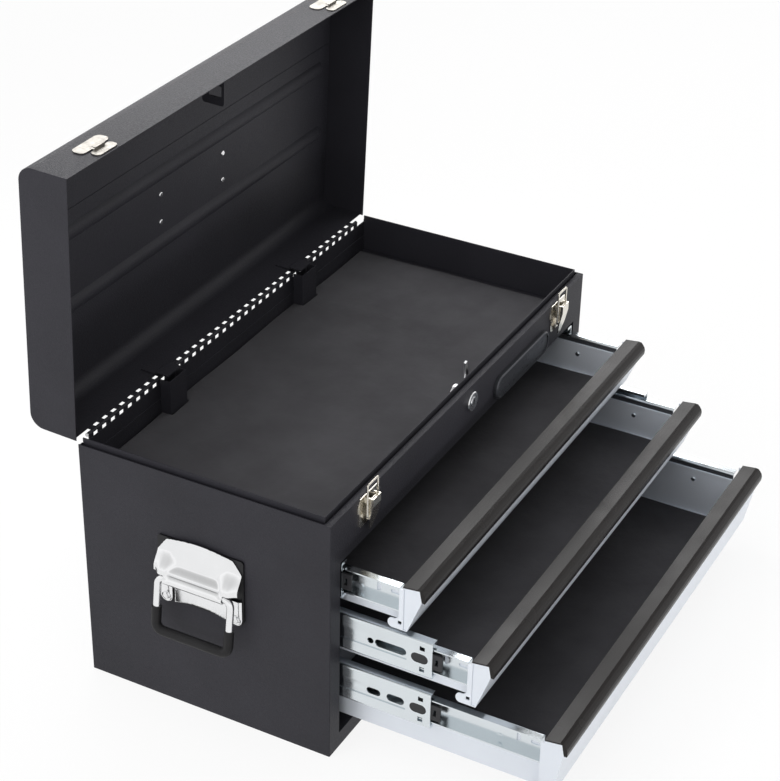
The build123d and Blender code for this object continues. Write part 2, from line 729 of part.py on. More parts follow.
def wire(points, r, bend):
    """Round wire along a bent line."""
    path = FilletPolyline(*points, radius=bend)
    start = path.edges()[0]
    ring = Plane(origin=start @ 0, z_dir=start % 0) * Circle(r)
    return sweep(ring, path=path)


def latch_bail():
    """Wire loop, its ends turned in through the lever's flanges, at x = 0."""
    x, z1 = BAIL_X, BAIL_Z + BAIL_H
    end = LEVER_IN + BAIL_END
    points = [(-end, BAIL_Y, BAIL_Z), (-x, BAIL_Y, BAIL_Z), (-x, BAIL_Y, z1),
              (x, BAIL_Y, z1), (x, BAIL_Y, BAIL_Z), (end, BAIL_Y, BAIL_Z)]
    return wire(points, BAIL_R, BAIL_BEND)


def handle_back():
    """Dark backing plate of a side handle in its own frame."""
    w = HANDLE_BACK_W / 2
    part = box(-w, w, -HANDLE_BACK_T, 0, HANDLE_BACK_LOW, HANDLE_BACK_TOP)
    part = fillet(part.edges().filter_by(Axis.Y), HANDLE_BACK_R)
    for u, v in handle_rivet_spots():
        part -= rod_y(RIVET_R, -HANDLE_BACK_T - OVER, OVER, u, v)
    return part


def handle_plate():
    """Bright cover of a side handle: arched field, raised cheeks, rolled barrel, tab and lugs."""
    p0, p1 = -HANDLE_BACK_T, -HANDLE_BACK_T - HANDLE_SHEET
    w, f, t = HANDLE_W / 2, HANDLE_FLAT, TAB_HALF
    arc = ThreePointArc((-f, p0, HANDLE_SHOULDER), (0, p0, HANDLE_TOP), (f, p0, HANDLE_SHOULDER))
    right = [(f, HANDLE_SHOULDER), (w, HANDLE_CORNER), (w, BARREL_R), (t, BARREL_R), (t, TAB_LOW)]
    low = ThreePointArc((t, p0, TAB_LOW), (0, p0, TAB_LOW + TAB_ARCH), (-t, p0, TAB_LOW))
    sides = [Polyline(*[(s * u, p0, v) for u, v in right]) for s in (-1, 1)]
    part = extrude(make_face([arc, low] + sides), amount=HANDLE_SHEET, dir=(0, -1, 0))
    lug_top = -BARREL_R - LUG_GAP
    lug = box(LUG_X - LUG_W / 2, LUG_X + LUG_W / 2, p1, p0, LUG_LOW, lug_top)
    lug = fillet(edges_at(lug, Axis.Y, (Axis.Z, LUG_LOW)), LUG_W / 2 - LUG_END)
    lug += box(t - OVER, LUG_X, p1, p0, lug_top - LUG_ARM, lug_top)
    part += pair(lug)
    c = -PIVOT_OUT
    ridge, foot = HUMP_RIDGE, HUMP_FOOT
    hump = slab_x([(p0, HUMP_TOP), (p1, HUMP_TOP), (c - ridge[0], BARREL_R - ridge[1]),
                   (c + foot[0], -BARREL_R + foot[1]), (p1, -2 * BARREL_R), (p0, -2 * BARREL_R)],
                  -HANDLE_CHEEK, HANDLE_CHEEK)
    part += hump + rod_x(BARREL_R, -HANDLE_CHEEK, HANDLE_CHEEK, c, 0)
    x, top, low = HANDLE_CHEEK, HANDLE_CHEEK_TOP, WIRE_R + CHEEK_UP
    out = c - CHEEK_OUT
    back, down = CHEEK_DOME
    dome = ThreePointArc((x, p1, top), (x, c + back, top - down), (x, out, low))
    rest = Polyline((x, out, low), (x, p0, low), (x, p0, top), (x, p1, top))
    cheek = extrude(make_face([dome, rest]), amount=w - x, dir=(1, 0, 0))
    part += pair(cheek)
    part -= rod_x(WIRE_R + RUN_FIT, -w, w, c, 0)
    for u, v in handle_rivet_spots():
        part -= rod_y(RIVET_R, p1 - OVER, OVER, u, v)
    return part


def handle_rivets():
    """Rivets of one side handle, through the lugs, the backing plate and the side."""
    seat = -HANDLE_BACK_T - HANDLE_SHEET
    head = rod_y(RIVET_HEAD_R, seat - RIVET_HEAD_T, seat, 0, 0)
    head = fillet(head.edges().group_by(Axis.Y)[0], RIVET_HEAD_T * RIVET_ROUND)
    rivet = head + rod_y(RIVET_R, seat, SHEET + RIVET_CLENCH, 0, 0)
    spots = [Pos(u, 0, v) * rivet for u, v in handle_rivet_spots()]
    return spots[0] + spots[1]


def handle_points(leg, drop, end, y):
    """Corner points of a handle wire whose ends sit on the pivot line."""
    return [(-end, y, 0), (-leg, y, 0), (-leg, y, -drop), (leg, y, -drop), (leg, y, 0), (end, y, 0)]


def handle_bail():
    """Wire of a side handle, tipped out to its resting angle."""
    part = wire(handle_points(HANDLE_LEG, HANDLE_DROP, HANDLE_END, -PIVOT_OUT), WIRE_R, HANDLE_BEND)
    return part.rotate(Axis((0, -PIVOT_OUT, 0), (-1, 0, 0)), HANDLE_TILT)


def grip_sleeve(leg, drop, up, y, outer_r, wire_r, bend):
    """Sleeve over the lower part of a handle wire."""
    points = [(-leg, y, -drop + up), (-leg, y, -drop), (leg, y, -drop), (leg, y, -drop + up)]
    return wire(points, outer_r, bend) - wire(points, wire_r, bend)


def handle_grip():
    """Sleeve of a side handle, tipped with its wire."""
    part = grip_sleeve(HANDLE_LEG, HANDLE_DROP, GRIP_LEG, -PIVOT_OUT, GRIP_R, WIRE_R, HANDLE_BEND)
    return part.rotate(Axis((0, -PIVOT_OUT, 0), (-1, 0, 0)), HANDLE_TILT)


def lid_rivet_spots():
    """Rivet positions (x, y) of the lid handle."""
    half = LID_RIVET_PITCH / 2
    return [(sx * LID_HANDLE_SPAN, sy * half) for sx in (-1, 1) for sy in (-1, 1)]


def lid_mounts():
    """Two brackets with barrels for the lid handle, on the closed lid."""
    x0, x1 = LID_HANDLE_SPAN - MOUNT_W / 2, LID_HANDLE_SPAN + MOUNT_W / 2
    part = box(x0, x1, -MOUNT_L / 2, MOUNT_L / 2, LID_TOP, LID_TOP + MOUNT_T)
    part = fillet(part.edges().filter_by(Axis.Z), MOUNT_R)
    part += box(x0, x1, -LID_BARREL_R, LID_BARREL_R, LID_TOP, LID_TOP + LID_PIVOT_OUT)
    part += rod_x(LID_BARREL_R, x0, x1, 0, LID_TOP + LID_PIVOT_OUT)
    part -= rod_x(LID_WIRE_R + RUN_FIT, x0 - OVER, x1 + OVER, 0, LID_TOP + LID_PIVOT_OUT)
    part = pair(part)
    for x, y in lid_rivet_spots():
        part -= Pos(x, y, LID_TOP) * Cylinder(RIVET_R, 6 * SHEET)
    return part


def lid_rivets():
    """Rivets of the lid handle, with bright clenched ends inside the lid."""
    seat = LID_TOP + MOUNT_T
    low = LID_TOP - SHEET
    rivet = Pos(0, 0, (seat + low) / 2) * Cylinder(RIVET_R, seat - low)
    head = Pos(0, 0, seat + RIVET_HEAD_T / 2) * Cylinder(RIVET_HEAD_R, RIVET_HEAD_T)
    rivet += fillet(head.edges().group_by(Axis.Z)[-1], RIVET_HEAD_T * RIVET_ROUND)
    tail = Pos(0, 0, low - RIVET_HEAD_T / 2) * Cylinder(RIVET_R + RIVET_CLENCH, RIVET_HEAD_T)
    rivet += fillet(tail.edges().group_by(Axis.Z)[0], RIVET_HEAD_T * RIVET_ROUND)
    spots = [Pos(x, y, 0) * rivet for x, y in lid_rivet_spots()]
    return spots[0] + spots[1] + spots[2] + spots[3]


def lid_handle_frame():
    """Local -Y leaves the lid's top and local -Z runs to its rear edge."""
    return Pos(0, 0, LID_TOP) * Rot(0, 0, 180) * Rot(-90, 0, 0)


def lid_bail():
    """Wire of the lid handle; its ends turn out into the brackets."""
    end = LID_HANDLE_SPAN + MOUNT_W / 2
    return wire(handle_points(LID_LEG, LID_DROP, end, -LID_PIVOT_OUT), LID_WIRE_R, LID_BEND)


def lid_grip():
    """Sleeve of the lid handle."""
    y = -LID_PIVOT_OUT
    return grip_sleeve(LID_LEG, LID_DROP, LID_DROP / 2, y, LID_GRIP_R, LID_WIRE_R, LID_BEND)


def channel(web, reach, half, flange, y0, y1):
    """Slide member: web at x = 0, flanges to x = reach, rolled corners, from y0 to y1."""
    outer = box(0, reach, y0, y1, -half, half)
    outer = fillet(edges_at(outer, Axis.Y, (Axis.X, 0)), RACE_R)
    h = half - flange
    return outer - box(web, reach + OVER, y0 - OVER, y1 + OVER, -h, h)


def slide_z(n):
    """Height of a drawer's slides."""
    return DRAWER_TOP[n] - SLIDE_DROP


def place_slide(part, n, y):
    """Left slide member to its drawer level, doubled on the right."""
    return pair(Pos(-SLIDE_X, y, slide_z(n)) * part)


def cabinet_rails(n):
    """Outer slide members, fixed to the uprights."""
    part = channel(RAIL_SHEET, RAIL_REACH, RAIL_HALF, RACE_T, 0, RAIL_LENGTH)
    return place_slide(part, n, FACE + RAIL_FRONT)


def middle_rails(n):
    """Sliding middle members: a groove along the web, punched holes and slots."""
    t, deep = RAIL_SHEET, RECESS_DEEP
    part = channel(t, MIDDLE_REACH, MIDDLE_HALF, RACE_T, 0, MIDDLE_LENGTH)
    y0, y1 = RECESS_FRONT, MIDDLE_LENGTH
    h = RECESS_HALF
    part += box(0, t + deep, y0 - t, y1, -h - t, h + t)
    part -= box(-OVER, deep, y0, y1 + OVER, -h, h)
    cut = (-OVER, 2 * t + deep)
    part -= slot_x(*PLUG, *cut, PLUG_BACK, 0)
    half = SQUARE / 2
    for z in (-SQUARE_UP, SQUARE_UP):
        part -= box(*cut, SQUARE_BACK - half, SQUARE_BACK + half, z - half, z + half)
    for back, long, tall in MIDDLE_SLOTS[n]:
        part -= slot_x(long, tall, *cut, back, 0)
    return place_slide(Pos(t + RACE_GAP, 0, 0) * part, n, FACE + MIDDLE_FRONT - MIDDLE_OUT[n])


def cages(n):
    """Ball cages in the mouth of the middle members; their boss fills the oval hole."""
    x0 = 2 * RAIL_SHEET + RACE_GAP
    x1 = x0 + CAGE_T
    part = box(x0, x1, -CAGE_OUT, CAGE_IN, -CAGE_HALF, CAGE_HALF)
    long, tall, back = CAGE_WINDOW
    y = back - CAGE_OUT
    part -= box(x0 - OVER, x1 + OVER, y - long / 2, y + long / 2, -tall / 2, tall / 2)
    boss = [size - PLUG_FIT for size in PLUG]
    part += slot_x(*boss, x0 - RAIL_SHEET * PLUG_SINK, x0 + CAGE_T / 2, PLUG_BACK, 0)
    return place_slide(part, n, FACE + MIDDLE_FRONT - MIDDLE_OUT[n])


def drawer_rails(n):
    """Inner slide members on the drawer walls with their rivets through the wall."""
    t = RAIL_SHEET
    part = channel(t, DRAWER_REACH, DRAWER_HALF, DRAWER_FLANGE, 0, DRAWER_RAIL_LENGTH)
    long, tall, back = RAIL_SLOT
    part -= slot_x(long, tall, -OVER, 2 * t, back, 0)
    long, tall, back = RAIL_WINDOW
    window = box(-OVER, 2 * t, back - long / 2, back + long / 2, -tall / 2, tall / 2)
    part -= fillet(edges_at(window, Axis.X, (Axis.Y, back - long / 2)), RAIL_WINDOW_ROUND)
    part = Pos(SLIDE_T, 0, 0) * mirror(part, about=Plane.YZ)
    head, shank = SLIDE_RIVET_R, SLIDE_RIVET_R - SLIDE_RIVET_STEP
    inner, outer = SLIDE_T - t, SLIDE_T + SHEET
    low, high = SLIDE_RIVET_OUT
    for back in SLIDE_RIVET_BACK:
        y, z = back - DRAWER_RAIL_FRONT, -SLIDE_RIVET_DOWN
        part += rod_x(head, inner - low, SLIDE_T, y, z)
        part += rod_x(shank, inner, outer + high, y, z)
        dome = rod_x(head, outer, outer + high, y, z)
        part += fillet(dome.edges().group_by(Axis.X)[-1], high * RIVET_ROUND)
    return place_slide(part, n, DRAWER_REST - DRAWER_OUT[n] + DRAWER_RAIL_FRONT)


def front_outline(n):
    """Outer (y, z) outline of a drawer front; its rear top edge is the origin."""
    lip, low = -FRONT_DEEP - FRONT_LIP, -FRONT_H[n]
    return [(0, 0), (-FRONT_DEEP, FRONT_RISE), (lip, -FRONT_LIP_DOWN), (-FRONT_FOOT[n], low), (0, low)]


def front_tube(n):
    """Folded hollow front, its ends closed by flaps that may sit a little inside the fold."""
    outer = make_face(Polyline(*[(-SLIDE_X, y, z) for y, z in front_outline(n)], close=True))
    inner = offset(outer, amount=-SHEET, kind=Kind.INTERSECTION)
    tube = extrude(outer, amount=2 * SLIDE_X, dir=(1, 0, 0))
    deep = CAP_SET[n]
    core = extrude(inner, amount=2 * (SLIDE_X - deep - SHEET), dir=(1, 0, 0))
    tube -= Pos(deep + SHEET, 0, 0) * core
    if deep:
        end = extrude(inner, amount=deep, dir=(1, 0, 0))
        tube -= end + Pos(2 * SLIDE_X - deep, 0, 0) * end
    return tube


def drawer_tray(n):
    """Drawer in its own frame: folded front, end tabs, side walls, rear wall and floor."""
    floor = -FRONT_H[n] + FLOOR_UP[n]
    x, y1 = DRAWER_X, DRAWER_LENGTH
    part = front_tube(n)
    part += box(-x, x, -SHEET / 2, y1, floor, floor + SHEET)
    part += pair(box(x - SHEET, x, -SHEET / 2, y1, floor, -WALL_DOWN))
    part += box(-x, x, y1 - SHEET, y1, floor, -WALL_DOWN)
    low = -FRONT_H[n]
    top = low + TAB_HIGH
    tab = box(SLIDE_X - SHEET, SLIDE_X, -SHEET / 2, TAB_LONG, low, top)
    tab += box(SLIDE_X - SHEET, SLIDE_X, -SHEET / 2, STRIP_LONG, low, -STRIP_DOWN)
    tab = fillet(edges_at(tab, Axis.X, (Axis.Y, TAB_LONG)), TAB_ROUND)
    tab = fillet(edges_at(tab, Axis.X, (Axis.Y, STRIP_LONG), (Axis.Z, top)), TAB_HOLLOW)
    y, z = TAB_HOLE_AT[0], low + TAB_HOLE_AT[1]
    half = TAB_HOLE / 2
    tab -= box(SLIDE_X - 2 * SHEET, SLIDE_X + OVER, y - half, y + half, z - half, z + half)
    part += pair(tab)
    shank = SLIDE_RIVET_R - SLIDE_RIVET_STEP
    z = -SLIDE_DROP - SLIDE_RIVET_DOWN
    for back in SLIDE_RIVET_BACK:
        part -= pair(rod_x(shank, x - 2 * SHEET, x + OVER, back, z))
    return part


def drawer_pull(n):
    """Dark pull rail hooked over the front's top edge, in the drawer's frame."""
    lip = -FRONT_DEEP - FRONT_LIP
    slope = FRONT_RISE / FRONT_DEEP
    nose = lip - PULL_NOSE
    low = -FRONT_LIP_DOWN
    points = [(-PULL_BACK, -PULL_HOOK), (-PULL_BACK, PULL_BACK * slope + PULL_T),
              (-PULL_FLAT, PULL_FLAT * slope + PULL_T), (-PULL_SHOULDER[0], FRONT_RISE + PULL_SHOULDER[1])]
    points += [(nose + back, up) for back, up in PULL_CURVE]
    points += [(nose + PULL_EDGE[0], low), (lip + PULL_EDGE[1], low), (-PULL_INNER[0], -PULL_INNER[1])]
    part = slab_x(points, -SLIDE_X, SLIDE_X)
    return part - slab_x(front_outline(n), -SLIDE_X - OVER, SLIDE_X + OVER)


def drawer_mat(n):
    """Foam liner of a drawer, in the drawer's frame."""
    z = -FRONT_H[n] + FLOOR_UP[n] + SHEET
    x = DRAWER_X - SHEET - DRAWER_MAT_GAP
    part = box(-x, x, MAT_GAP, DRAWER_LENGTH - SHEET - MAT_GAP, z, z + DRAWER_MAT_T)
    return fillet(part.edges().filter_by(Axis.Z), MAT_R)


def uprights():
    """Channels between the side walls and the slides, two a side."""
    x0, x1 = SLIDE_X, HALF_W - SHEET
    z0, z1 = SHEET, TRAY_FLOOR
    half = UPRIGHT_W / 2
    part = None
    for y in UPRIGHT_Y:
        one = box(x0, x0 + SHEET, y - half, y + half, z0, z1)
        for s in (-1, 1):
            edge = y + s * (half - SHEET / 2)
            one += box(x0, x1, edge - SHEET / 2, edge + SHEET / 2, z0, z1)
        part = one if part is None else part + one
    return pair(part)


def main():
    right = side_panel()
    save("side_right", right)
    save("side_left", flip(right))
    x = HALF_W - SHEET
    save("back_panel", box(-x, x, BACK_IN, HALF_D, 0, BACK_TOP))
    save("base_pan", base_pan())
    save("front_panel", front_panel())
    save("top_tray", top_tray())
    save("tray_mat", tray_mat())
    save("slide_uprights", uprights())
    save("hinge_leaf_box", hinge_leaf(0, -1, BOX_NOTCH))
    save("hinge_pin", hinge_pin())
    save("lid_stop_channels", stop_channels())
    save("nameplate", nameplate())
    save("lock_housing", lock_housing())
    save("lock_cylinder", lock_cylinder())
    save("lock_cam", lock_cam())
    save("lock_nut", lock_nut())

    save("lid_shell", raise_lid(lid_shell()))
    save("hinge_leaf_lid", raise_lid(hinge_leaf(1, 1, LID_NOTCH)))
    save("lid_stop_tabs", raise_lid(stop_tabs()))
    save("lid_striker", raise_lid(striker()))
    save("lid_keepers", raise_lid(pair(Pos(LATCH_X, 0, 0) * keeper())))
    save("lid_handle_mounts", raise_lid(lid_mounts()))
    save("lid_handle_rivets", raise_lid(lid_rivets()))
    save("lid_handle_bail", raise_lid(lid_handle_frame() * lid_bail()))
    save("lid_handle_grip", raise_lid(lid_handle_frame() * lid_grip()))

    save("latch_bases", pair(Pos(LATCH_X, 0, 0) * latch_base()))
    lever = Pos(LATCH_X, 0, 0) * latch_lever()
    loop = Pos(LATCH_X, 0, 0) * latch_bail()
    save("latch_lever_right", lever)
    save("latch_lever_left", flip(lever))
    save("latch_bail_right", loop)
    save("latch_bail_left", flip(loop))

    ends = (("left", -1), ("right", 1))
    save("side_handle_backs", handle_place(-1) * handle_back() + handle_place(1) * handle_back())
    save("side_handle_rivets", handle_place(-1) * handle_rivets() + handle_place(1) * handle_rivets())
    for name, side in ends:
        place = handle_place(side)
        save(f"side_handle_plate_{name}", place * handle_plate())
        save(f"side_handle_bail_{name}", place * handle_bail())
        save(f"side_handle_grip_{name}", place * handle_grip())

    for n in range(len(DRAWER_TOP)):
        place = Pos(0, DRAWER_REST - DRAWER_OUT[n], DRAWER_TOP[n])
        save(f"cabinet_rails_{n + 1}", cabinet_rails(n))
        save(f"middle_rails_{n + 1}", middle_rails(n))
        save(f"slide_cages_{n + 1}", cages(n))
        save(f"drawer_rails_{n + 1}", drawer_rails(n))
        save(f"drawer_tray_{n + 1}", place * drawer_tray(n))
        save(f"drawer_pull_{n + 1}", place * drawer_pull(n))
        save(f"drawer_mat_{n + 1}", place * drawer_mat(n))


main()
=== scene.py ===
"""Drawer tool box: the looks of the part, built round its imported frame, in metres and in its axes."""
import json
import math

import bpy
from mathutils import Matrix, Vector


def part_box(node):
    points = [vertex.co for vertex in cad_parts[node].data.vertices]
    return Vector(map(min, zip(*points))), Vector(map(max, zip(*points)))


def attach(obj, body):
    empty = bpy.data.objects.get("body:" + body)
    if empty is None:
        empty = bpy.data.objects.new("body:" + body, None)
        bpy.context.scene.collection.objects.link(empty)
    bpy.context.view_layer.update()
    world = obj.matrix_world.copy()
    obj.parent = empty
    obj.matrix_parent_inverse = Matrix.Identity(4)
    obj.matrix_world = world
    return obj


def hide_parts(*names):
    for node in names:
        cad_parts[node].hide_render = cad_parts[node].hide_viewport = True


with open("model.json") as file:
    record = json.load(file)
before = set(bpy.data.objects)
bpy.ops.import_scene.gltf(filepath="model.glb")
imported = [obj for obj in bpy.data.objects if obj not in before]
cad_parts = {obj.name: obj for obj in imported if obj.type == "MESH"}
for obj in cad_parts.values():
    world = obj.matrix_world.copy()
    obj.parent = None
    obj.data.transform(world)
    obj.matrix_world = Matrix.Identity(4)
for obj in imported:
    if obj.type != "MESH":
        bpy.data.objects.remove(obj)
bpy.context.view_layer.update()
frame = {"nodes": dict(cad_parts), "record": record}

NODES = frame["nodes"]
MM = 0.001

# Camera of the photograph: focal length in pixels of its frame, place in metres, angles in degrees
FOCAL_PX = 2041.0
FRAME_PX = 781.0
SENSOR = 36.0
CAMERA_AT = (-1.4957, -0.8284, 1.2450)
AZIMUTH, ELEVATION, ROLL = -62.35, 31.14, 1.291

# World: the fill on matt surfaces
WORLD_FILL = 0.32

# Sky in the mirrors: height and level of its edge, height of its top, then side place and level overhead
SKY_EDGE = (0.16, 1.0)
SKY_TOP = 0.95
SKY_LEFT = (-0.5, 0.66)
SKY_RIGHT = (0.6, 0.36)

# Floor: half its width, its grey, the share of white that the camera sees, and where that grows to all
FLOOR_HALF = 8.0
FLOOR_GREY = 0.88
FLOOR_WHITE = 0.87
FLOOR_FADE = (0.9, 3.0)

# Floor in the mirrors: the share of white and its level
MIRROR_WHITE = 0.95
MIRROR_FLOOR = 0.9

# Stretch of a noise texture's values that most of a surface has
NOISE_MIDDLE = (0.3, 0.7)


# Materials

class Look:
    """One procedural material: a principled shader and a few texture nodes in object space."""

    def __init__(self, name, metallic=0.0, specular=0.5):
        self.mat = bpy.data.materials.new(name)
        self.mat.use_nodes = True
        self.tree = self.mat.node_tree
        self.bsdf = self.tree.nodes["Principled BSDF"]
        self.bsdf.inputs["Metallic"].default_value = metallic
        self.bsdf.inputs["Specular IOR Level"].default_value = specular
        self.coord = self.tree.nodes.new("ShaderNodeTexCoord").outputs["Object"]
        self.normal = None

    def node(self, kind, **values):
        made = self.tree.nodes.new(kind)
        for key, value in values.items():
            made.inputs[key].default_value = value
        return made

    def link(self, source, target):
        self.tree.links.new(source, target)

    def stretched(self, stretch):
        mapping = self.node("ShaderNodeMapping", Scale=stretch)
        self.link(self.coord, mapping.inputs["Vector"])
        return mapping.outputs["Vector"]

    def noise(self, scale, detail=3.0, rough=0.55, stretch=None):
        made = self.node("ShaderNodeTexNoise", Scale=scale, Detail=detail, Roughness=rough)
        self.link(self.stretched(stretch) if stretch else self.coord, made.inputs["Vector"])
        return made.outputs["Fac"]

    def cells(self, scale):
        made = self.node("ShaderNodeTexVoronoi", Scale=scale)
        self.link(self.coord, made.inputs["Vector"])
        return made.outputs["Distance"]

    def cloudy(self, rgb, low, high, scale):
        """Base colour that drifts in broad patches, from rgb times low to rgb times high."""
        made = self.tree.nodes.new("ShaderNodeValToRGB")
        stops = zip(made.color_ramp.elements, NOISE_MIDDLE, (low, high))
        for element, place, factor in stops:
            element.position = place
            element.color = (*(c * factor for c in rgb), 1.0)
        self.link(self.noise(scale, detail=4.0), made.inputs["Fac"])
        self.link(made.outputs["Color"], self.bsdf.inputs["Base Color"])

    def rough(self, fac, low, high):
        """Roughness that follows a texture from low to high."""
        made = self.node("ShaderNodeMapRange")
        start, end = NOISE_MIDDLE
        for key, value in (("From Min", start), ("From Max", end), ("To Min", low), ("To Max", high)):
            made.inputs[key].default_value = value
        self.link(fac, made.inputs["Value"])
        self.link(made.outputs["Result"], self.bsdf.inputs["Roughness"])

    def bump(self, height, strength, depth):
        """Relief from a texture, on top of the relief that came before."""
        made = self.node("ShaderNodeBump", Strength=strength, Distance=depth)
        self.link(height, made.inputs["Height"])
        if self.normal:
            self.link(self.normal, made.inputs["Normal"])
        self.normal = made.outputs["Normal"]
        self.link(self.normal, self.bsdf.inputs["Normal"])


def powder_coat():
    look = Look("powder_coat", specular=0.22)
    look.cloudy((0.0226, 0.0221, 0.0272), low=0.86, high=1.14, scale=9.0)
    look.rough(look.noise(700.0, detail=2.0), low=0.46, high=0.62)
    look.bump(look.noise(650.0), strength=0.42, depth=0.6 * MM)
    look.bump(look.noise(35.0, detail=2.0), strength=0.05, depth=2.0 * MM)
    return look.mat


def foam_sheet():
    look = Look("foam_sheet", specular=0.22)
    look.cloudy((0.0525, 0.0515, 0.0560), low=0.86, high=1.15, scale=14.0)
    look.rough(look.noise(40.0), low=0.78, high=0.93)
    look.bump(look.noise(1100.0, detail=2.0), strength=0.22, depth=0.4 * MM)
    look.bump(look.cells(420.0), strength=0.12, depth=0.4 * MM)
    look.bump(look.noise(95.0, detail=4.0, rough=0.6), strength=0.3, depth=2.2 * MM)
    return look.mat


def silver_paint():
    look = Look("silver_paint", metallic=0.3)
    look.cloudy((0.68, 0.715, 0.77), low=0.96, high=1.03, scale=7.0)
    look.rough(look.noise(500.0), low=0.34, high=0.43)
    look.bump(look.noise(900.0, detail=2.0), strength=0.06, depth=0.3 * MM)
    return look.mat


def zinc_plate():
    look = Look("zinc_plate", metallic=1.0)
    look.cloudy((0.76, 0.81, 0.84), low=0.97, high=1.03, scale=22.0)
    look.rough(look.noise(140.0, detail=2.0, stretch=(1.0, 0.03, 1.0)), low=0.16, high=0.26)
    look.bump(look.noise(45.0, detail=1.0), strength=0.03, depth=0.6 * MM)
    return look.mat


def pull_coat():
    look = Look("pull_coat", specular=0.19)
    look.cloudy((0.0122, 0.0104, 0.0100), low=0.94, high=1.08, scale=12.0)
    look.rough(look.noise(30.0, detail=1.0), low=0.22, high=0.28)
    look.bump(look.noise(24.0, detail=1.0), strength=0.02, depth=0.6 * MM)
    return look.mat


def plate_coat():
    look = Look("plate_coat", metallic=0.55)
    look.cloudy((0.066, 0.069, 0.078), low=0.97, high=1.04, scale=6.0)
    look.rough(look.noise(400.0), low=0.27, high=0.31)
    look.bump(look.noise(700.0, detail=1.0), strength=0.05, depth=0.2 * MM)
    return look.mat


def nickel_plate():
    look = Look("nickel_plate", metallic=1.0)
    look.cloudy((0.80, 0.765, 0.69), low=0.93, high=1.05, scale=90.0)
    look.rough(look.noise(600.0), low=0.15, high=0.28)
    look.bump(look.noise(190.0, detail=2.0), strength=0.35, depth=0.6 * MM)
    return look.mat


def chrome_plate():
    look = Look("chrome_plate", metallic=1.0)
    look.cloudy((0.905, 0.91, 0.92), low=0.98, high=1.02, scale=40.0)
    look.rough(look.noise(60.0), low=0.15, high=0.21)
    look.bump(look.noise(60.0, detail=2.0), strength=0.03, depth=0.4 * MM)
    return look.mat


def plain_steel():
    look = Look("plain_steel", metallic=1.0)
    look.cloudy((0.56, 0.56, 0.57), low=0.9, high=1.08, scale=60.0)
    look.rough(look.noise(500.0), low=0.28, high=0.42)
    return look.mat


def black_plastic():
    look = Look("black_plastic", specular=0.4)
    look.cloudy((0.018, 0.018, 0.02), low=0.85, high=1.2, scale=40.0)
    look.rough(look.noise(700.0), low=0.44, high=0.58)
    look.bump(look.noise(1000.0, detail=2.0), strength=0.1, depth=0.3 * MM)
    return look.mat


def grip_sleeve():
    look = Look("grip_sleeve", specular=0.2)
    look.cloudy((0.0125, 0.0122, 0.013), low=0.9, high=1.15, scale=45.0)
    look.rough(look.noise(500.0), low=0.42, high=0.55)
    look.bump(look.noise(900.0, detail=2.0), strength=0.08, depth=0.3 * MM)
    return look.mat


# Painted shade: the keepers' nickel with its base colour darkened to about a third, to hold back the
# bright reflection of the flange lamp
def shaded_nickel_plate():
    look = Look("shaded_nickel_plate", metallic=1.0)
    look.cloudy((0.29, 0.275, 0.25), low=0.78, high=1.22, scale=120.0)
    look.rough(look.noise(300.0), low=0.32, high=0.46)
    look.bump(look.noise(170.0, detail=2.0), strength=0.6, depth=0.8 * MM)
    return look.mat


def backing_coat():
    look = Look("backing_coat", specular=0.35)
    look.cloudy((0.0058, 0.0057, 0.0066), low=0.85, high=1.2, scale=40.0)
    look.rough(look.noise(500.0), low=0.3, high=0.4)
    look.bump(look.noise(800.0, detail=2.0), strength=0.06, depth=0.3 * MM)
    return look.mat


# The slots of the record, then two looks for single nodes
MATERIALS = {
    "black_coat": powder_coat(),
    "liner_foam": foam_sheet(),
    "silver_coat": silver_paint(),
    "zinc": zinc_plate(),
    "black_plastic": black_plastic(),
    "pull_black": pull_coat(),
    "plate_black": plate_coat(),
    "nickel": nickel_plate(),
    "bright_chrome": chrome_plate(),
    "steel": plain_steel(),
    "grip_black": grip_sleeve(),
    "backing": backing_coat(),
    "keeper_shaded_nickel": shaded_nickel_plate(),
}


def paint(obj, slot):
    obj.data.materials.clear()
    obj.data.materials.append(MATERIALS[slot])


for part in frame["record"]["subparts"]:
    paint(NODES[part["node"]], part["material_slot"])
paint(NODES["side_handle_backs"], "backing")
# The keepers get the darkened nickel copy, painted shade against the flange lamp's reflection
paint(NODES["lid_keepers"], "keeper_shaded_nickel")


def add_object(name, verts, faces):
    """New object in the scene, shaded smooth, from its points and faces."""
    mesh = bpy.data.meshes.new(name)
    mesh.from_pydata(verts, [], faces)
    mesh.update()
    for face in mesh.polygons:
        face.use_smooth = True
    obj = bpy.data.objects.new(name, mesh)
    bpy.context.scene.collection.objects.link(obj)
    return obj


# Foam liners: pitch of the grid, closer lines beside an edge, and the share of a pitch clear of those
MAT_PITCH = 5 * MM
MAT_NEAR = (0.0, 0.5 * MM, 1.2 * MM, 2.4 * MM)
MAT_CLEAR = 0.45

# Lines this little past an edge still count, and lines this close together are one
LINE_PAST = 1e-9
LINE_APART = 1e-5

# Rounded rim, lift of the underside, sink of the upper side, and the angle in degrees of a sharp edge
MAT_RIM = 1.2 * MM
MAT_LIFT = 0.03 * MM
MAT_SINK = 0.5 * MM
MAT_SHARP = 50.0

# Uneven cut, swells and curled edges: size, reach from the edge, and radians per metre along x and y
CUT = 0.7 * MM
CUT_REACH = 9 * MM
CUT_WAVE = (37.0, 61.0)
BROAD = 0.45 * MM
BROAD_WAVE = (9.0, 13.0)
SMALL = 0.25 * MM
SMALL_WAVE = (31.0, -17.0)
CURL = 0.8 * MM
CURL_REACH = 16 * MM
CURL_WAVE = (11.0, 7.0)

# Where the waves start, and how much wavier and shorter at its right end the tray's liner is
DRAWER_PHASE = 1.3
TRAY_PHASE = 0.4
TRAY_SWELL = 2.6
TRAY_SHORT = 8 * MM

# Cut-outs of the tray's liner round the lid stops: they run past its rear edge
NOTCH_HALF = 15 * MM
NOTCH_GAP = 1 * MM
NOTCH_INSET = 14 * MM
NOTCH_PAST = 1.0


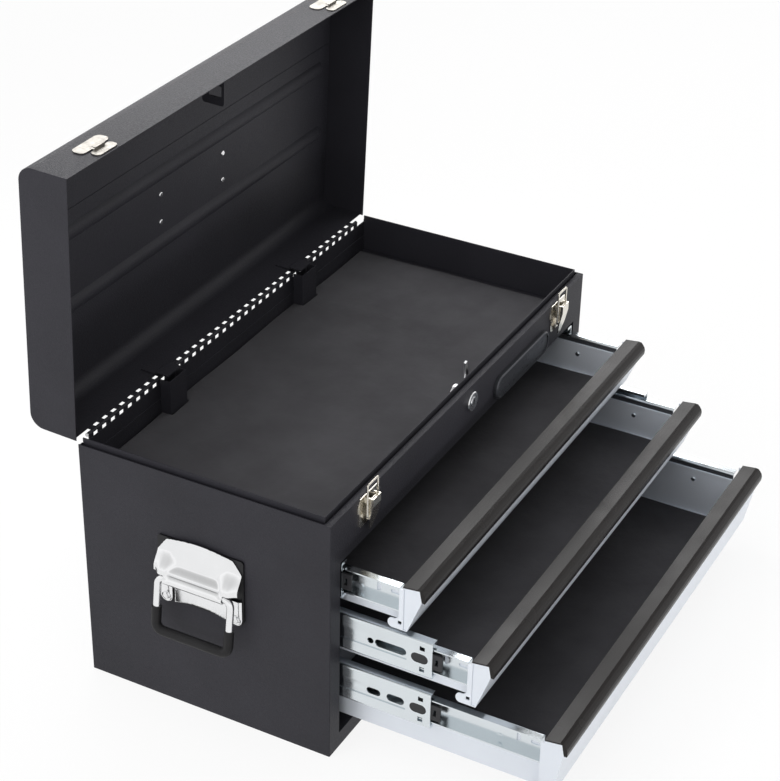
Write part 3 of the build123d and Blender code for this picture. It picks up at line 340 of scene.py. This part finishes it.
def steps(low, high, extra):
    """Grid lines from low to high with closer lines at the ends and at extra places."""
    lines = [low + d for d in MAT_NEAR] + [high - d for d in MAT_NEAR]
    for place in extra:
        lines += [place + s * d for d in MAT_NEAR for s in (-1, 1)]
    fixed = sorted(lines)
    count = int((high - low) / MAT_PITCH)
    for i in range(1, count):
        value = low + (high - low) * i / count
        if min(abs(value - f) for f in fixed) > MAT_CLEAR * MAT_PITCH:
            lines.append(value)
    merged = []
    for value in sorted(v for v in lines if low - LINE_PAST <= v <= high + LINE_PAST):
        if not merged or value - merged[-1] > LINE_APART:
            merged.append(value)
    return merged


def edge_gap(x, y, rect, notches):
    """Distance from a point of the mat to its nearest edge."""
    x0, y0, x1, y1 = rect
    gap = min(x - x0, x1 - x, y - y0, y1 - y)
    for a, b, c, d in notches:
        dx = max(a - x, 0.0, x - c)
        dy = max(b - y, 0.0, y - d)
        gap = min(gap, math.hypot(dx, dy))
    return max(gap, 0.0)


def wave(x, y, turns, phase):
    return math.sin(turns[0] * x + turns[1] * y + phase)


def inward(value, low, high):
    """Sign of the way from a place to the middle between low and high."""
    return 1 if value < (low + high) / 2 else -1


def mat_rise(x, y, gap, phase, swell):
    """How far the upper side stands above a flat sheet's, below zero at the rounded rim."""
    drop = 0.0
    if gap < MAT_RIM:
        drop = MAT_RIM - math.sqrt(max(MAT_RIM ** 2 - (MAT_RIM - gap) ** 2, 0.0))
    lift = BROAD * math.sin(BROAD_WAVE[0] * x + 3 * phase) * math.sin(BROAD_WAVE[1] * y + phase)
    lift += SMALL * wave(x, y, SMALL_WAVE, 2 * phase)
    curl = CURL * math.exp(-gap / CURL_REACH) * max(0.0, wave(x, y, CURL_WAVE, phase))
    return lift * swell + curl - drop


def foam_mat(name, node, body, phase, notches=(), swell=1.0, short=0.0):
    """Foam sheet in the place of a liner's solid: rounded edges, gentle waves and an uneven cut."""
    low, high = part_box(node)
    high.x -= short
    rect = (low.x, low.y, high.x, high.y)
    xs = steps(low.x, high.x, [v for n in notches for v in (n[0], n[2])])
    ys = steps(low.y, high.y, [n[1] for n in notches])

    def kept(i, j):
        x, y = (xs[i] + xs[i + 1]) / 2, (ys[j] + ys[j + 1]) / 2
        return not any(a < x < c and b < y < d for a, b, c, d in notches)

    def place(x, y, top):
        gap = edge_gap(x, y, rect, notches)
        pull = CUT / 2 * math.exp(-gap / CUT_REACH) * (1 + wave(x, y, CUT_WAVE, phase))
        px = x + pull * inward(x, low.x, high.x)
        py = y + pull * inward(y, low.y, high.y)
        if not top:
            return px, py, low.z + MAT_LIFT
        return px, py, high.z - MAT_SINK + mat_rise(x, y, gap, phase, swell)

    verts, faces, index = [], [], {}

    def vertex(i, j, top):
        key = (i, j, top)
        if key not in index:
            index[key] = len(verts)
            verts.append(place(xs[i], ys[j], top))
        return index[key]

    columns, rows = len(xs) - 1, len(ys) - 1
    cells = {(i, j) for i in range(columns) for j in range(rows) if kept(i, j)}
    for i, j in sorted(cells):
        ring = [(i, j), (i + 1, j), (i + 1, j + 1), (i, j + 1)]
        faces.append([vertex(a, b, True) for a, b in ring])
        faces.append([vertex(a, b, False) for a, b in reversed(ring)])
        beside = [(i, j - 1), (i + 1, j), (i, j + 1), (i - 1, j)]
        for k, other in enumerate(beside):
            if other not in cells:
                a, b = ring[k], ring[(k + 1) % 4]
                faces.append([vertex(*a, False), vertex(*b, False), vertex(*b, True), vertex(*a, True)])
    obj = add_object(name, verts, faces)
    obj.data.set_sharp_from_angle(angle=math.radians(MAT_SHARP))
    paint(obj, "liner_foam")
    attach(obj, body)
    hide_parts(node)


def stop_notches():
    """Cut-outs of the tray liner round the lid stops, from the stop channels' own places."""
    low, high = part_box("lid_stop_channels")
    _, mat_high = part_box("tray_mat")
    front = low.y - NOTCH_GAP
    back = mat_high.y + NOTCH_PAST
    middles = (low.x + NOTCH_INSET, high.x - NOTCH_INSET)
    return [(x - NOTCH_HALF, front, x + NOTCH_HALF, back) for x in middles]


foam_mat("tray_liner", "tray_mat", "cabinet", TRAY_PHASE, stop_notches(),
         swell=TRAY_SWELL, short=TRAY_SHORT)
for n in (1, 2, 3):
    foam_mat(f"drawer_liner_{n}", f"drawer_mat_{n}", f"drawer_{n}", DRAWER_PHASE * n)


# Covers of the side handles: one pressed sheet, in mm round the pivot line (u along the cabinet, v up)
COVER_TOP = 40.0
COVER_SHOULDER = (35.0, 35.5)
COVER_SIDE = (44.0, 23.0)
COVER_SHEET = 1.4
COVER_SKIN = 1.2

# Cheeks at both ends of the hump
CHEEK_IN = 31.0
CHEEK_LOW = 4.5
CHEEK_TOP = 25.0
CHEEK_CREST = 8.0
CHEEK_HIGH = 14.4
CHEEK_SPREAD = (17.0, 31.0)
CHEEK_PINCH = (35.0, 0.36)
CHEEK_BLEND = (25.0, 6.0)
CHEEK_MELT = 2.0

# Section of the hump, from its field down to the roll round the wire
FIELD_TOP = 34.0
FIELD_LEAN = 3.0
RAMP_TOP = 13.8
RIDGE = (7.4, 12.4)
RIDGE_DIP = 3.0
ROLL_R = 5.6
ROLL_AXIS = 11.0
ROLL_FOOT = 9.0

# Tab below the roll, as half width, lower edge and arch, and the riveted lugs beside it
COVER_TAB = (28.0, -32.0, 4.5)
LUG_AT = (37.0, -27.5)
LUG_R = 6.5
LUG_TOP = -6.6
LUG_ARM_LOW = -13.6
LUG_SWELL = (1.3, 2.6)
LUG_SEAT = (4.0, 1.2)

# Grid of a cover: places along u and v, each with the pitch that follows it
COVER_U = [
    (0.0, 1.0),
    (COVER_TAB[0], 0.5),
    (LUG_AT[0] - LUG_R, 0.5),
    (CHEEK_IN, 0.7),
    (LUG_AT[0] + LUG_R, 0.5),
]
COVER_V = [
    (LUG_AT[1] - LUG_R, 0.7),
    (LUG_ARM_LOW, 0.7),
    (-ROLL_FOOT, 0.3),
    (LUG_TOP, 0.25),
    (-ROLL_R, 0.25),
    (CHEEK_LOW, 0.25),
    (RIDGE[0], 0.4),
    (CHEEK_TOP, 0.8),
]

# Share of a cell within which its corner moves to the end of the sheet
COVER_SNAP = 0.12


def clamp(t):
    return min(max(t, 0.0), 1.0)


def rise(t):
    """Smooth step from 0 to 1."""
    t = clamp(t)
    return t * t * (3 - 2 * t)


def cover_top(u):
    """Upper edge: a shallow arch between two cut shoulders."""
    half, shoulder = COVER_SHOULDER
    side, corner = COVER_SIDE
    if u >= half:
        return shoulder + (corner - shoulder) * (u - half) / (side - half)
    up = COVER_TOP - shoulder
    radius = (half ** 2 + up ** 2) / (2 * up)
    return COVER_TOP - radius + math.sqrt(radius ** 2 - u ** 2)


def cover_spans(u, middle):
    """Stretches of the sheet along v in the column at u, for cells whose middle lies at the given u."""
    tab, low, arch = COVER_TAB
    if middle < tab:
        return [(low + arch * (1 - (u / tab) ** 2), cover_top(u))]
    spans = [(-ROLL_R if middle < CHEEK_IN else CHEEK_LOW, cover_top(u))]
    off = LUG_AT[0] - u
    if abs(LUG_AT[0] - middle) < LUG_R:
        foot = LUG_AT[1] - math.sqrt(max(LUG_R ** 2 - off ** 2, 0.0))
        spans.append((foot, LUG_TOP))
    elif middle < LUG_AT[0]:
        spans.append((LUG_ARM_LOW, LUG_TOP))
    return spans


def field_lean(v):
    """How far the field between the upper edge and the ramp leans out at v."""
    return FIELD_LEAN * clamp((FIELD_TOP - v) / (FIELD_TOP - RAMP_TOP))


def hump_height(v):
    """Section of the hump: field, ramp, ridge, the roll round the wire and its return to the tab."""
    if v <= -ROLL_R:
        share = rise((v + ROLL_FOOT) / (ROLL_FOOT - ROLL_R))
        return COVER_SHEET + (ROLL_AXIS - COVER_SHEET) * share
    ridge, high = RIDGE
    height = COVER_SHEET + field_lean(v)
    height += (high - height) * rise((RAMP_TOP - v) / (RAMP_TOP - ridge))
    height -= RIDGE_DIP * rise((ridge - v) / ridge)
    if v < ROLL_R:
        height = max(height, ROLL_AXIS + math.sqrt(ROLL_R ** 2 - v ** 2))
    return height


def cheek_height(u, v):
    """Domed cheek at each end of the hump, falling a little to its outer edge."""
    up = rise((CHEEK_TOP - v) / (CHEEK_TOP - CHEEK_CREST))
    inner, full = CHEEK_SPREAD
    across = rise((u - inner) / (full - inner))
    start, share = CHEEK_PINCH
    fall = 1 - share * rise((u - start) / (COVER_SIDE[0] - start))
    field = COVER_SHEET + field_lean(v) * (1 - across)
    return field + (CHEEK_HIGH - field) * up * across * fall


def lug_height(u, v):
    """Lug with a swollen rim round a flat rivet seat."""
    off = math.hypot(u - LUG_AT[0], v - LUG_AT[1])
    edge = LUG_R - (off if v < LUG_AT[1] else abs(u - LUG_AT[0]))
    swell, width = LUG_SWELL
    seat, blend = LUG_SEAT
    return COVER_SHEET + swell * rise(edge / width) * rise((off - seat) / blend)


def cover_height(u, v):
    """How far the sheet's outer face stands from the backing plate."""
    if v < -ROLL_R and u > COVER_TAB[0]:
        return lug_height(u, v)
    hump = hump_height(v)
    if v <= 0.0:
        return hump
    cheek = cheek_height(u, v)
    near = max(1 - abs(hump - cheek) / CHEEK_MELT, 0.0)
    both = max(hump, cheek) + CHEEK_MELT * near * near / 4
    start, width = CHEEK_BLEND
    share = rise((u - start) / width) * rise(v / CHEEK_LOW)
    return both * (1 - share) + cheek * share


def spaced(stops, end):
    """Values from the first stop to the end, each stop a place and the pitch that follows it."""
    values = []
    ends = [place for place, _ in stops[1:]] + [end]
    for (start, pitch), stop in zip(stops, ends):
        count = max(1, round((stop - start) / pitch))
        values += [start + (stop - start) * k / count for k in range(count)]
    return values + [end]


def snapped(v, span, slack):
    """The place v, or the end of the sheet where v lies near it or past it."""
    bottom, top = span
    if v < bottom + slack:
        return bottom
    if v > top - slack:
        return top
    return v


def handle_cover(name, node, side):
    """Pressed cover in the place of a side handle's plate; side is the sign of X that it faces."""
    low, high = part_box(node)
    back = low.x if side > 0 else high.x
    middle, pivot = (low.y + high.y) / 2, high.z - COVER_TOP * MM
    half = spaced(COVER_U, COVER_SIDE[0])
    us = [-u for u in reversed(half[1:])] + half
    vs = spaced(COVER_V, COVER_TOP)
    verts, faces, index = [], [], {}

    def vertex(u, v):
        key = (round(u, 3), round(v, 3))
        if key not in index:
            index[key] = len(verts)
            out = cover_height(abs(u), v) * MM
            verts.append((back + side * out, middle + u * MM, pivot + v * MM))
        return index[key]

    for u0, u1 in zip(us, us[1:]):
        centre = abs(u0 + u1) / 2
        for v0, v1 in zip(vs, vs[1:]):
            for k, (bottom, top) in enumerate(cover_spans(centre, centre)):
                if not bottom < (v0 + v1) / 2 < top:
                    continue
                ring = []
                for u, v in ((u0, v0), (u1, v0), (u1, v1), (u0, v1)):
                    span = cover_spans(abs(u), centre)[k]
                    corner = vertex(u, snapped(v, span, COVER_SNAP * (v1 - v0)))
                    if corner not in ring:
                        ring.append(corner)
                if len(ring) > 2:
                    faces.append(ring if side > 0 else ring[::-1])
    obj = add_object(name, verts, faces)
    skin = obj.modifiers.new("skin", "SOLIDIFY")
    skin.thickness = COVER_SKIN * MM
    skin.offset = -1.0
    paint(obj, "bright_chrome")
    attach(obj, "cabinet")
    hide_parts(node)


handle_cover("handle_cover_left", "side_handle_plate_left", -1)
handle_cover("handle_cover_right", "side_handle_plate_right", 1)


# Stage, light and camera

def combined(tree, operation, first, second):
    made = tree.nodes.new("ShaderNodeMath")
    made.operation = operation
    tree.links.new(first, made.inputs[0])
    tree.links.new(second, made.inputs[1])
    return made.outputs["Value"]


def seen_rays(tree):
    """1 for rays of the camera, of reflections and of transmission, else 0."""
    path = tree.nodes.new("ShaderNodeLightPath")
    total = path.outputs["Is Camera Ray"]
    for name in ("Is Glossy Ray", "Is Transmission Ray"):
        total = combined(tree, "MAXIMUM", total, path.outputs[name])
    return total


def choose(tree, share, low, high, start=0.0, end=1.0):
    """Smooth blend of two levels, each a number or a socket, as the share goes from start to end."""
    made = tree.nodes.new("ShaderNodeMapRange")
    made.interpolation_type = "SMOOTHSTEP"
    made.inputs["From Min"].default_value = start
    made.inputs["From Max"].default_value = end
    tree.links.new(share, made.inputs["Value"])
    for key, value in (("To Min", low), ("To Max", high)):
        if isinstance(value, float):
            made.inputs[key].default_value = value
        else:
            tree.links.new(value, made.inputs[key])
    return made.outputs["Result"]


def make_world():
    """White to the camera, a graded sky to the mirrors and an even fill to the rest."""
    world = bpy.data.worlds.new("studio")
    bpy.context.scene.world = world
    world.use_nodes = True
    tree = world.node_tree
    background = tree.nodes["Background"]
    background.inputs["Color"].default_value = (1.0, 1.0, 1.0, 1.0)
    heading = tree.nodes.new("ShaderNodeSeparateXYZ")
    place = tree.nodes.new("ShaderNodeTexCoord")
    tree.links.new(place.outputs["Generated"], heading.inputs["Vector"])
    over = choose(tree, heading.outputs["X"], SKY_LEFT[1], SKY_RIGHT[1], SKY_LEFT[0], SKY_RIGHT[0])
    sky = choose(tree, heading.outputs["Z"], SKY_EDGE[1], over, SKY_EDGE[0], SKY_TOP)
    path = tree.nodes.new("ShaderNodeLightPath")
    seen = choose(tree, path.outputs["Is Camera Ray"], sky, 1.0)
    level = choose(tree, seen_rays(tree), WORLD_FILL, seen)
    tree.links.new(level, background.inputs["Strength"])


def pale_floor():
    """Grey to the lamps, so that it keeps the shadow, and mostly white to the camera and the mirrors."""
    mat = bpy.data.materials.new("pale_floor")
    mat.use_nodes = True
    tree = mat.node_tree
    tree.nodes.remove(tree.nodes["Principled BSDF"])
    diffuse = tree.nodes.new("ShaderNodeBsdfDiffuse")
    diffuse.inputs["Color"].default_value = (FLOOR_GREY, FLOOR_GREY, FLOOR_GREY, 1.0)
    glow = tree.nodes.new("ShaderNodeEmission")
    camera_ray = tree.nodes.new("ShaderNodeLightPath").outputs["Is Camera Ray"]
    tree.links.new(choose(tree, camera_ray, MIRROR_FLOOR, 1.0), glow.inputs["Strength"])
    place = tree.nodes.new("ShaderNodeTexCoord")
    reach = tree.nodes.new("ShaderNodeVectorMath")
    reach.operation = "LENGTH"
    tree.links.new(place.outputs["Object"], reach.inputs[0])
    shown = choose(tree, reach.outputs["Value"], FLOOR_WHITE, 1.0, *FLOOR_FADE)
    white = choose(tree, camera_ray, MIRROR_WHITE, shown)
    mix = tree.nodes.new("ShaderNodeMixShader")
    tree.links.new(combined(tree, "MULTIPLY", seen_rays(tree), white), mix.inputs["Fac"])
    tree.links.new(diffuse.outputs["BSDF"], mix.inputs[1])
    tree.links.new(glow.outputs["Emission"], mix.inputs[2])
    tree.links.new(mix.outputs["Shader"], tree.nodes["Material Output"].inputs["Surface"])
    return mat


def make_floor():
    signs = ((-1, -1), (1, -1), (1, 1), (-1, 1))
    corners = [(x * FLOOR_HALF, y * FLOOR_HALF, 0.0) for x, y in signs]
    floor = add_object("floor", corners, [(0, 1, 2, 3)])
    floor.data.materials.append(pale_floor())


def softbox(name, at, aim, size, power, mirrored=True):
    """Area lamp that the camera doesn't see; glossy surfaces mirror it unless told otherwise."""
    data = bpy.data.lights.new(name, "AREA")
    data.shape = "RECTANGLE"
    data.size, data.size_y = size
    data.energy = power
    lamp = bpy.data.objects.new(name, data)
    lamp.visible_camera = False
    lamp.visible_glossy = mirrored
    bpy.context.scene.collection.objects.link(lamp)
    lamp.location = at
    lamp.rotation_euler = (Vector(aim) - Vector(at)).to_track_quat("-Z", "Y").to_euler()


def make_camera():
    az, el, roll = (math.radians(v) for v in (AZIMUTH, ELEVATION, ROLL))
    forward = Vector((-math.sin(az) * math.cos(el), math.cos(az) * math.cos(el), -math.sin(el)))
    right = Vector((math.cos(az), math.sin(az), 0.0))
    up = right.cross(forward)
    x = math.cos(roll) * right + math.sin(roll) * up
    y = -math.sin(roll) * right + math.cos(roll) * up
    data = bpy.data.cameras.new("camera")
    data.sensor_width = SENSOR
    data.lens = FOCAL_PX * SENSOR / FRAME_PX
    camera = bpy.data.objects.new("camera", data)
    bpy.context.scene.collection.objects.link(camera)
    turn = Matrix((x, y, -forward)).transposed().to_4x4()
    camera.matrix_world = Matrix.Translation(CAMERA_AT) @ turn
    bpy.context.scene.camera = camera


make_world()
make_floor()

# Broad lamps for the matt surfaces
softbox("top_light", at=(-0.3, 0.75, 2.3), aim=(0.0, -0.05, 0.2),
        size=(3.0, 2.6), power=38.0, mirrored=False)
softbox("left_light", at=(-2.4, 0.45, 1.1), aim=(0.0, 0.0, 0.2),
        size=(3.2, 2.2), power=49.0, mirrored=False)
softbox("right_light", at=(1.8, -0.6, 1.5), aim=(0.0, -0.2, 0.15),
        size=(1.0, 1.0), power=13.0, mirrored=False)
softbox("front_light", at=(0.1, -1.1, 0.04), aim=(0.0, -0.2, 0.12),
        size=(1.2, 0.07), power=3.6, mirrored=False)

# Small lamps that the lid's flange and the drawer pulls mirror
softbox("flange_light", at=(0.42, 0.41, 0.80), aim=(0.0, 0.14, 0.5), size=(0.7, 0.3), power=2.8)
softbox("pull_light", at=(1.66, 0.42, 1.04), aim=(0.2, -0.25, 0.15), size=(0.5, 0.4), power=2.0)
make_camera()
bpy.context.scene.view_settings.view_transform = "Standard"
